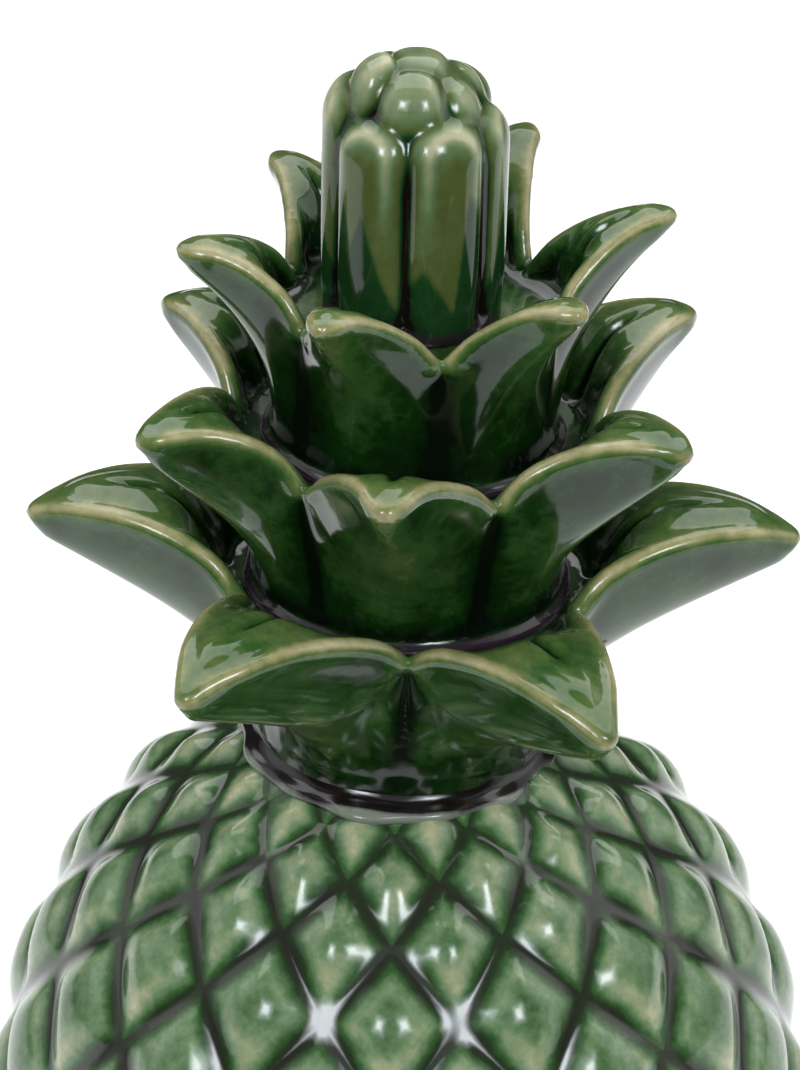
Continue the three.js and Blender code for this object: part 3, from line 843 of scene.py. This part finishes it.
def paint_crown(piece, surface, rims, creases, pools):
    """Thin glaze on the rims and on what sticks out, thick in hollows, black where it pools. Steep walls
    are darkened as painted shade, and faces that look down are lightened as painted light from the floor.
    """
    fine, middle, broad = curvature_marks(piece, surface)
    upward = vertex_normals(piece.data)[:, 2]
    # Steeper faces get a thicker, darker glaze value: partly glaze running down the walls, partly painted
    # shade on walls that face away from the light.
    steep_wall_shade = surface.smoothed((1 - np.abs(upward)) ** 1.5, 40)
    # Faces that look downward get a thinner, lighter glaze value: painted light standing for the floor's
    # light reflected up onto the undersides.
    below = surface.smoothed(np.maximum(-upward, 0), 20)
    points = coordinates(piece.data)
    crease = np.exp(-((distance_to(points, creases) / 1.7) ** 2))
    away = distance_to(points, rims)
    ridge = 0.55 * np.exp(-((away / 1.3) ** 2)) + 0.25 * np.exp(-((away / 3.4) ** 2))
    ridge += 0.2 * np.clip(-middle / 0.6, 0, 1)
    thick = 0.52 + hollows(fine, middle, broad) + 0.39 * steep_wall_shade - 0.48 * ridge
    # Painted light on the undersides.
    thick -= 0.12 * below
    thick += 0.24 * crease
    store(piece.data, "glaze", surface.smoothed(thick, 3))
    pooled = np.zeros(len(points))
    if pools:
        pooled = 1 - smooth_step(distance_to(points, pools), 1.6, 2.8)
    store(piece.data, "pool", pooled)


def oval_ring(centre_x, half_depth, half_width, height, columns, squareness=1.0):
    """A level ring of points. Squareness above 1 flattens its sides."""
    turn = np.linspace(0, 2 * math.pi, columns, endpoint=False)
    deep = np.sign(np.cos(turn)) * np.abs(np.cos(turn)) ** (1 / squareness)
    wide = np.sign(np.sin(turn)) * np.abs(np.sin(turn)) ** (1 / squareness)
    return np.stack(
        [centre_x + half_depth * deep, half_width * wide, np.full(columns, height)], 1
    )


def closed_skin(name, rings):
    """A closed piece from rings of points, with a flat face on its first and last ring."""
    columns = len(rings[0])
    faces = []
    for row in range(len(rings) - 1):
        for column in range(columns):
            after = (column + 1) % columns
            low = row * columns
            high = low + columns
            faces.append([low + column, low + after, high + after, high + column])
    faces.append(list(range(columns))[::-1])
    faces.append([(len(rings) - 1) * columns + column for column in range(columns)])
    piece = mesh_object(name, np.concatenate(rings), faces)
    recalculate(piece)
    return piece


def finger(index):
    """An upright lobe whose top is rounded like a fingertip."""
    rise = LOBE_RISE + LOBE_TRIMS[index]
    inner = BUD_CORE_RADIUS - 2.5
    centre = (inner + LOBE_REACH) / 2
    half_depth = (LOBE_REACH - inner) / 2
    rings = []
    for height in np.linspace(-0.5, rise - LOBE_ROUNDING, 12):
        scale = mix(0.93, 1, smooth_step(height, 0, 14))
        rings.append(lobe_ring(centre, half_depth, scale, height))
    for turn in np.linspace(0.08, 1, 14) * math.pi / 2:
        scale = max(math.cos(turn), 0.02) ** 0.85
        height = rise - LOBE_ROUNDING * (1 - math.sin(turn))
        inward = 1.2 * math.sin(turn) ** 2
        rings.append(lobe_ring(centre - inward, half_depth, scale, height))
    return closed_skin("lobe", rings)


def lobe_ring(centre, half_depth, scale, height):
    return oval_ring(centre, half_depth * scale, LOBE_HALF_WIDTH * scale, height, 40, 1.25)


def egg(name, centre, half_size, top, slope=0.0):
    """A knob with a flattish top that falls outwards."""
    half_depth, half_width, half_height = half_size
    rings = []
    for turn in np.linspace(-0.47, 0.5, 22) * math.pi:
        scale = max(math.cos(turn), 0.02) ** 0.6
        height = top - half_height * (1 - math.sin(turn))
        ring = oval_ring(centre, half_depth * scale, half_width * scale, height, 32, 1.2)
        ring[:, 2] -= slope * (ring[:, 0] - centre) * max(math.sin(turn), 0)
        rings.append(ring)
    return closed_skin(name, rings)


def build_bud():
    """Six lobes round six knobs and a crest, fused and glazed."""
    parts = []
    step = 360 / LOBES_ROUND
    for index in range(LOBES_ROUND):
        lobe = finger(index)
        turn = front_angle((index - 0.5) * step + BUD_TURN)
        lobe.data.transform(Matrix.Rotation(turn, 4, "Z"))
        knob_size = (KNOB_HALF_DEPTH, KNOB_HALF_WIDTHS[index], KNOB_HALF_HEIGHT)
        knob_top = KNOB_RISE + KNOB_TRIMS[index]
        knob = egg("knob", KNOB_RING_RADIUS, knob_size, knob_top, KNOB_SLOPE)
        knob.data.transform(Matrix.Rotation(front_angle(index * step + BUD_TURN), 4, "Z"))
        parts += [lobe, knob]
    crest_size = (CREST_RADIUS, CREST_RADIUS, CREST_HALF_HEIGHT)
    parts.append(egg("crest", 0, crest_size, CREST_RISE))
    parts.append(lathe(BUD_DOME))
    turns = np.linspace(0, 2 * math.pi, 121)
    ring = np.stack([np.cos(turns), np.sin(turns), 0 * turns], 1) * BUD_FOOT_RADIUS
    ring[:, 2] += 0.4
    parts.append(tube(ring, BUD_FOOT_BEAD))
    piece = fuse("bud", parts)
    surface = settle(piece, *BUD_SETTLING)
    shade_smooth(piece)
    paint_bud(piece, surface, ring)
    lift = BUD_FLOOR + abs(math.sin(math.radians(BUD_LEAN))) * LOBE_REACH
    place = Matrix.Translation(Vector((BUD_SHIFT, 0, lift)) * METRES)
    lean = Matrix.Rotation(math.radians(BUD_LEAN), 4, "Y")
    piece.data.transform(crown_matrix() @ place @ lean)
    return piece


def lobe_place(points):
    """The lobe that each point of the bud is on, and how far from its middle."""
    azimuth = np.arctan2(points[:, 1], points[:, 0]) + math.pi / 2 - math.radians(BUD_TURN)
    radius = np.hypot(points[:, 0], points[:, 1])
    step = math.radians(360 / LOBES_ROUND)
    lobe = np.round(azimuth / step + 0.5)
    across = radius * np.sin(azimuth - (lobe - 0.5) * step)
    return np.mod(lobe, LOBES_ROUND).astype(int), across


def lobe_arches(points, lobe, across):
    """Nearness to the rounded upper edge of each lobe, where the glaze is thin."""
    rise = LOBE_RISE + np.array(LOBE_TRIMS)[lobe]
    up = np.maximum(points[:, 2] - rise + 7, 0)
    reach = np.hypot(across, up)
    edge = np.exp(-(((reach - 5.0) / 1.1) ** 2))
    return edge * smooth_step(points[:, 2], rise - 24, rise - 9)


def glaze_runs(points, lobe, across):
    """Where glaze has run down the lobes, thick below a jagged line of peaks."""
    line = np.full(len(points), 6.0)
    for run_lobe, centre, peak, left_slope, right_slope in GLAZE_RUNS:
        aside = across - centre
        tent = peak - np.where(aside < 0, -left_slope, right_slope) * aside
        line = np.where(lobe == run_lobe, np.maximum(line, tent), line)
    return 1 - smooth_step(points[:, 2] - line, -1.2, 1.2)


def paint_bud(piece, surface, ring):
    """Thin glaze over the tips, thicker down the lobes, with runs that end in points."""
    fine, middle, broad = curvature_marks(piece, surface)
    points = coordinates(piece.data)
    lobe, across = lobe_place(points)
    top = smooth_step(points[:, 2], 36, 44)
    thick = 0.58 + 1.2 * hollows(fine, 1.4 * middle, 1.8 * broad) - 0.08 * top
    thick -= mix(0.08, 0.46, top) * np.clip(-middle / 0.45, 0, 1)
    thick += 0.24 * glaze_runs(points, lobe, across) - 0.3 * lobe_arches(points, lobe, across)
    store(piece.data, "glaze", surface.smoothed(thick, 2))
    pool = 1 - smooth_step(distance_to(points, [denser(ring, 0.5)]), 1.8, 3.2)
    store(piece.data, "pool", pool)


def build_seam_pool():
    """Black glaze pooled round the foot of the crown, with an uneven outer edge of thin glaze painted
    light grey, partly as a painted highlight line.
    """
    rounds = 300
    turn = np.linspace(0, 2 * math.pi, rounds, endpoint=False)
    wave = 0.5 * np.sin(3 * turn + 0.4) + 0.5 * np.sin(7 * turn + 1.3) + 0.4 * np.sin(13 * turn)
    rings = []
    for reach, height in SEAM_PROFILE:
        radius = SEAM_RADIUS + reach + wave * max(reach, 0) / 3.4
        rings.append(np.stack([radius * np.cos(turn), radius * np.sin(turn), np.full(rounds, height)], 1))
    points = np.concatenate(rings)
    faces = []
    for row in range(len(rings)):
        low = row * rounds
        high = ((row + 1) % len(rings)) * rounds
        for column in range(rounds):
            after = (column + 1) % rounds
            faces.append([low + column, low + after, high + after, high + column])
    piece = mesh_object("seam_pool", points, faces)
    recalculate(piece)
    subdivide(piece, 2)
    shade_smooth(piece)
    reach = np.hypot(*coordinates(piece.data)[:, :2].T) - SEAM_RADIUS
    # Thinner glaze towards the outer edge, which the black glaze's ramp turns light grey: partly the thin
    # glaze's colour, partly a painted highlight line along the bead.
    store(piece.data, "glaze", 0.95 - 0.95 * smooth_step(reach, 1.8, 3.6))
    piece.data.transform(crown_matrix())
    return piece


def subdivide(piece, levels):
    modifier = piece.modifiers.new("round", "SUBSURF")
    modifier.levels = levels
    modifier.render_levels = levels
    graph = bpy.context.evaluated_depsgraph_get()
    smooth = bpy.data.meshes.new_from_object(piece.evaluated_get(graph))
    piece.modifiers.clear()
    piece.data = smooth


# Glazes

class Nodes:
    """Short forms for building a material's node tree."""

    def __init__(self, name):
        self.material = bpy.data.materials.new(name)
        self.material.use_nodes = True
        self.tree = self.material.node_tree
        self.shader = self.tree.nodes["Principled BSDF"]

    def add(self, kind, **settings):
        node = self.tree.nodes.new(kind)
        for key, value in settings.items():
            setattr(node, key, value)
        return node

    def link(self, output, target):
        self.tree.links.new(output, target)

    def noise(self, scale, detail=3.0, roughness=0.55):
        coordinates_node = self.add("ShaderNodeTexCoord")
        node = self.add("ShaderNodeTexNoise")
        node.inputs["Scale"].default_value = scale
        node.inputs["Detail"].default_value = detail
        node.inputs["Roughness"].default_value = roughness
        self.link(coordinates_node.outputs["Object"], node.inputs["Vector"])
        return node.outputs["Fac"]

    def math(self, operation, first, second):
        node = self.add("ShaderNodeMath", operation=operation)
        for socket, value in zip(node.inputs, (first, second)):
            if isinstance(value, (int, float)):
                socket.default_value = value
            else:
                self.link(value, socket)
        return node.outputs[0]

    def bump(self, height, strength, distance):
        node = self.add("ShaderNodeBump")
        node.inputs["Strength"].default_value = strength
        node.inputs["Distance"].default_value = distance
        self.link(height, node.inputs["Height"])
        return node

    def ramp(self, factor, stops):
        node = self.add("ShaderNodeValToRGB")
        self.link(factor, node.inputs["Fac"])
        elements = node.color_ramp.elements
        while len(elements) < len(stops):
            elements.new(0.5)
        for element, (position, colour) in zip(elements, stops):
            element.position = position
            element.color = (*colour, 1)
        return node.outputs["Color"]


def glaze_material(name, stops, mottle, roughness):
    """Glaze whose colour follows its thickness, from the thinnest stop to the thickest."""
    nodes = Nodes(name)
    thick = nodes.add("ShaderNodeAttribute", attribute_name="glaze").outputs["Fac"]
    broad = nodes.math("SUBTRACT", nodes.noise(BROAD_MOTTLE, 3), 0.5)
    fine = nodes.math("SUBTRACT", nodes.noise(FINE_MOTTLE, 4, 0.65), 0.5)
    thick = nodes.math("ADD", thick, nodes.math("MULTIPLY", broad, mottle))
    thick = nodes.math("ADD", thick, nodes.math("MULTIPLY", fine, mottle * 0.7))
    colour = nodes.ramp(thick, stops)
    pool = nodes.add("ShaderNodeAttribute", attribute_name="pool").outputs["Fac"]
    pooled = nodes.add("ShaderNodeMix", data_type="RGBA")
    pooled.inputs["B"].default_value = (*linear(34, 26, 32), 1)
    nodes.link(pool, pooled.inputs["Factor"])
    nodes.link(colour, pooled.inputs["A"])
    nodes.link(pooled.outputs["Result"], nodes.shader.inputs["Base Color"])
    nodes.shader.inputs["Roughness"].default_value = roughness
    nodes.shader.inputs["IOR"].default_value = 1.45
    grain = nodes.bump(nodes.noise(GRAIN, 2), 0.05, 0.001)
    waves = nodes.bump(nodes.noise(WAVES, 1), 0.2, 0.0015)
    nodes.link(grain.outputs["Normal"], waves.inputs["Normal"])
    nodes.link(waves.outputs["Normal"], nodes.shader.inputs["Normal"])
    return nodes.material


def linear(red, green, blue):
    """Linear light from display values of 0 to 255."""
    return tuple(
        v / 12.92 if v <= 0.04045 else ((v + 0.055) / 1.055) ** 2.4
        for v in (red / 255, green / 255, blue / 255)
    )


def leaf_glaze():
    stops = [
        (0.1, linear(156, 150, 118)),
        (0.26, linear(124, 120, 82)),
        (0.4, linear(78, 92, 50)),
        (0.56, linear(42, 70, 30)),
        (0.78, linear(9, 32, 6)),
        (0.98, linear(4, 9, 4)),
    ]
    return glaze_material("leaf_glaze", stops, 0.4, 0.09)


def bud_glaze():
    stops = [
        (0.1, linear(148, 146, 116)),
        (0.25, linear(108, 117, 86)),
        (0.42, linear(73, 93, 60)),
        (0.56, linear(62, 71, 34)),
        (0.74, linear(18, 50, 21)),
        (0.96, linear(12, 9, 7)),
    ]
    return glaze_material("bud_glaze", stops, 0.22, 0.09)


def body_glaze():
    stops = [
        (0.08, linear(168, 160, 126)),
        (0.26, linear(126, 134, 102)),
        (0.4, linear(88, 110, 78)),
        (0.56, linear(48, 76, 41)),
        (0.74, linear(30, 45, 25)),
        (0.92, linear(31, 32, 26)),
    ]
    return glaze_material("body_glaze", stops, 0.42, 0.11)


def black_glaze():
    stops = [
        # The two lightest stops give the pool's outer edge a light grey that is partly thin glaze and
        # partly a painted highlight line.
        (0.0, linear(104, 108, 96)),
        (0.2, linear(80, 80, 76)),
        (0.42, linear(20, 17, 17)),
        (1.0, linear(14, 9, 9)),
    ]
    return glaze_material("black_glaze", stops, 0.5, 0.12)


# Studio, in metres and watts

WORLD_OVERHEAD = 1.45
WORLD_BEHIND = 1.1
WORLD_FAINT = 0.07
LIGHT_AIM = (0, 0, 0.22)
COOL_WHITE = (0.9, 0.95, 1.0)
FRONT_PANEL = ((0, -1.1, 1.05), (1.7, 0.8), 2.5)
HOT_SPOT_PLACE = (0.5, -0.98, 0.93)
HOT_SPOT_RINGS = ((0.22, 3.2), (0.31, 3.6), (0.42, 3.4), (0.56, 2.6))
SIDE_PANEL_PLACE = (1.1, 0.15, 0.75)
SIDE_PANEL_RINGS = ((0.6, 0.3), (0.9, 0.35), (1.2, 0.35))
LEFT_POWER = 6
RIGHT_POWER = 8
TOP_PLACE = (0, 0.9, 1.9)
TOP_AIM = (0, 0.6, 0)
TOP_SIZE = (3.0, 2.0)
TOP_POWER = 55
PAPER_SIDE = 3.0
PAPER_FRONT = -0.3
PAPER_BACK = 3.5
PAPER_WHITE = (0.92, 0.92, 0.92, 1)


def area_light(name, place, aim, size, power, colour=(1, 1, 1)):
    data = bpy.data.lights.new(name, "AREA")
    data.shape = "RECTANGLE"
    data.size, data.size_y = size
    data.energy = power
    data.color = colour
    light = bpy.data.objects.new(name, data)
    bpy.context.scene.collection.objects.link(light)
    light.location = place
    light.rotation_euler = (Vector(aim) - Vector(place)).to_track_quat("-Z", "Y").to_euler()
    return light


def build_world():
    """A soft room: bright overhead and behind, dim in front and below."""
    world = bpy.data.worlds.new("studio")
    bpy.context.scene.world = world
    world.use_nodes = True
    tree = world.node_tree
    background = tree.nodes["Background"]
    place = tree.nodes.new("ShaderNodeTexCoord")
    parts = tree.nodes.new("ShaderNodeSeparateXYZ")
    tree.links.new(place.outputs["Generated"], parts.inputs["Vector"])

    def rise(output, start, end, top):
        node = tree.nodes.new("ShaderNodeMapRange")
        node.interpolation_type = "SMOOTHSTEP"
        node.inputs["From Min"].default_value = start
        node.inputs["From Max"].default_value = end
        node.inputs["To Min"].default_value = 0
        node.inputs["To Max"].default_value = top
        tree.links.new(output, node.inputs["Value"])
        return node.outputs["Result"]

    def total(first, second):
        node = tree.nodes.new("ShaderNodeMath")
        tree.links.new(first, node.inputs[0])
        tree.links.new(second, node.inputs[1])
        return node.outputs[0]

    overhead = rise(parts.outputs["Z"], 0.15, 0.85, WORLD_OVERHEAD)
    behind = rise(parts.outputs["Y"], 0.15, 0.8, WORLD_BEHIND)
    faint = tree.nodes.new("ShaderNodeMath")
    tree.links.new(total(overhead, behind), faint.inputs[0])
    faint.inputs[1].default_value = WORLD_FAINT
    tree.links.new(faint.outputs[0], background.inputs["Strength"])


def build_studio():
    """Two soft hot spots within a wide front panel, soft side panels and a broad light behind."""
    build_world()
    place, size, power = FRONT_PANEL
    area_light("front_panel", place, LIGHT_AIM, size, power, COOL_WHITE)
    for side, name in ((-1, "left"), (1, "right")):
        place = (side * HOT_SPOT_PLACE[0], *HOT_SPOT_PLACE[1:])
        for ring, (size, power) in enumerate(HOT_SPOT_RINGS):
            area_light(f"front_{name}_{ring}", place, LIGHT_AIM, (size, size), power, COOL_WHITE)
    for width, share in SIDE_PANEL_RINGS:
        size = (width, width + 0.2)
        for side, name, power in ((-1, "left", LEFT_POWER), (1, "right", RIGHT_POWER)):
            place = (side * SIDE_PANEL_PLACE[0], *SIDE_PANEL_PLACE[1:])
            area_light(name, place, LIGHT_AIM, size, power * share)
    area_light("top", TOP_PLACE, TOP_AIM, TOP_SIZE, TOP_POWER)


def build_floor():
    """White paper that ends in front of the object."""
    mesh = bpy.data.meshes.new("floor")
    corners = [
        (-PAPER_SIDE, PAPER_FRONT, 0),
        (PAPER_SIDE, PAPER_FRONT, 0),
        (PAPER_SIDE, PAPER_BACK, 0),
        (-PAPER_SIDE, PAPER_BACK, 0),
    ]
    mesh.from_pydata(corners, [], [(0, 1, 2, 3)])
    floor = bpy.data.objects.new("floor", mesh)
    bpy.context.scene.collection.objects.link(floor)
    nodes = Nodes("paper")
    nodes.shader.inputs["Base Color"].default_value = PAPER_WHITE
    nodes.shader.inputs["Roughness"].default_value = 0.9
    nodes.shader.inputs["Specular IOR Level"].default_value = 0.1
    mesh.materials.append(nodes.material)


# The photograph's view
CAMERA_AIM_HEIGHT = 0.2524
CAMERA_ELEVATION = math.radians(29.38)
CAMERA_DISTANCE = 0.7424
CAMERA_LENS = 124.9


def build_camera():
    data = bpy.data.cameras.new("camera")
    data.lens = CAMERA_LENS
    data.sensor_width = 36
    data.clip_start = 0.01
    camera = bpy.data.objects.new("camera", data)
    bpy.context.scene.collection.objects.link(camera)
    camera.location = (
        0,
        -CAMERA_DISTANCE * math.cos(CAMERA_ELEVATION),
        CAMERA_AIM_HEIGHT + CAMERA_DISTANCE * math.sin(CAMERA_ELEVATION),
    )
    camera.rotation_euler = (math.pi / 2 - CAMERA_ELEVATION, 0, 0)
    bpy.context.scene.camera = camera


def dress(piece, material, slot, *nodes):
    """Give a piece its glaze and put it in the place of its nodes."""
    piece.data.materials.clear()
    piece.data.materials.append(material)
    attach(piece, "root")
    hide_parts(*nodes)


def tier_nodes(tier):
    leaves = [f"{tier['name']}_leaf_{index + 1}" for index in range(LEAVES_PER_TIER)]
    return [f"{tier['name']}_core", *leaves]


def bud_nodes():
    numbers = range(1, LOBES_ROUND + 1)
    lobes = [f"bud_lobe_{number}" for number in numbers]
    knobs = [f"bud_knob_{number}" for number in numbers]
    return ["bud_core", "bud_crest", *lobes, *knobs]


BODY_NODES = sorted(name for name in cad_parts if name.startswith("body_"))

build_camera()
build_studio()
build_floor()
bpy.context.scene.view_settings.view_transform = "Standard"

green = leaf_glaze()
dress(build_body(), body_glaze(), "body_glaze", "foot_ring", *BODY_NODES)
dress(build_seam_pool(), black_glaze(), "joint_glaze", "crown_luting_ring")
for number, tier in enumerate(TIERS):
    dress(build_whorl(tier, number == 0), green, "leaf_glaze", *tier_nodes(tier))
dress(build_bud(), bud_glaze(), "bud_glaze", *bud_nodes())
